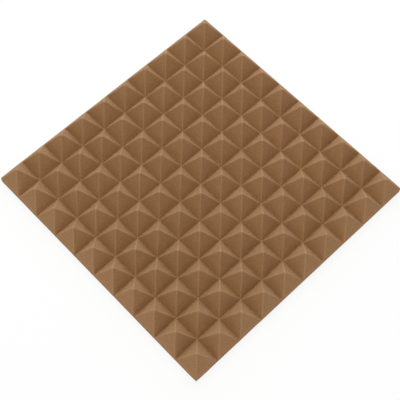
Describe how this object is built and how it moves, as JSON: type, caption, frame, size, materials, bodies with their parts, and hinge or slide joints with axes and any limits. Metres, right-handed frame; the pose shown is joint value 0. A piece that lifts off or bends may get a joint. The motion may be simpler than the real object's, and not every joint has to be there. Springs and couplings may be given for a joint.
{
  "type": "acoustic foam panel",
  "caption": "Square foam wall tile with a field of pyramids on its front and a flat back, stuck to a wall to absorb sound in a room.",
  "frame": {"origin": "middle of the flat back, in the plane that meets the wall", "axes": "+Z out of the wall, towards the pyramids' tips; X and Y along the tile's sides, which are alike"},
  "size_m": [0.5, 0.5, 0.05],
  "materials": {
    "foam": "warm brown open-cell polyurethane foam, matt all over, bare cut surface"
  },
  "bodies": {
    "root": {"foam_tile": "foam"}
  },
  "joints": []
}
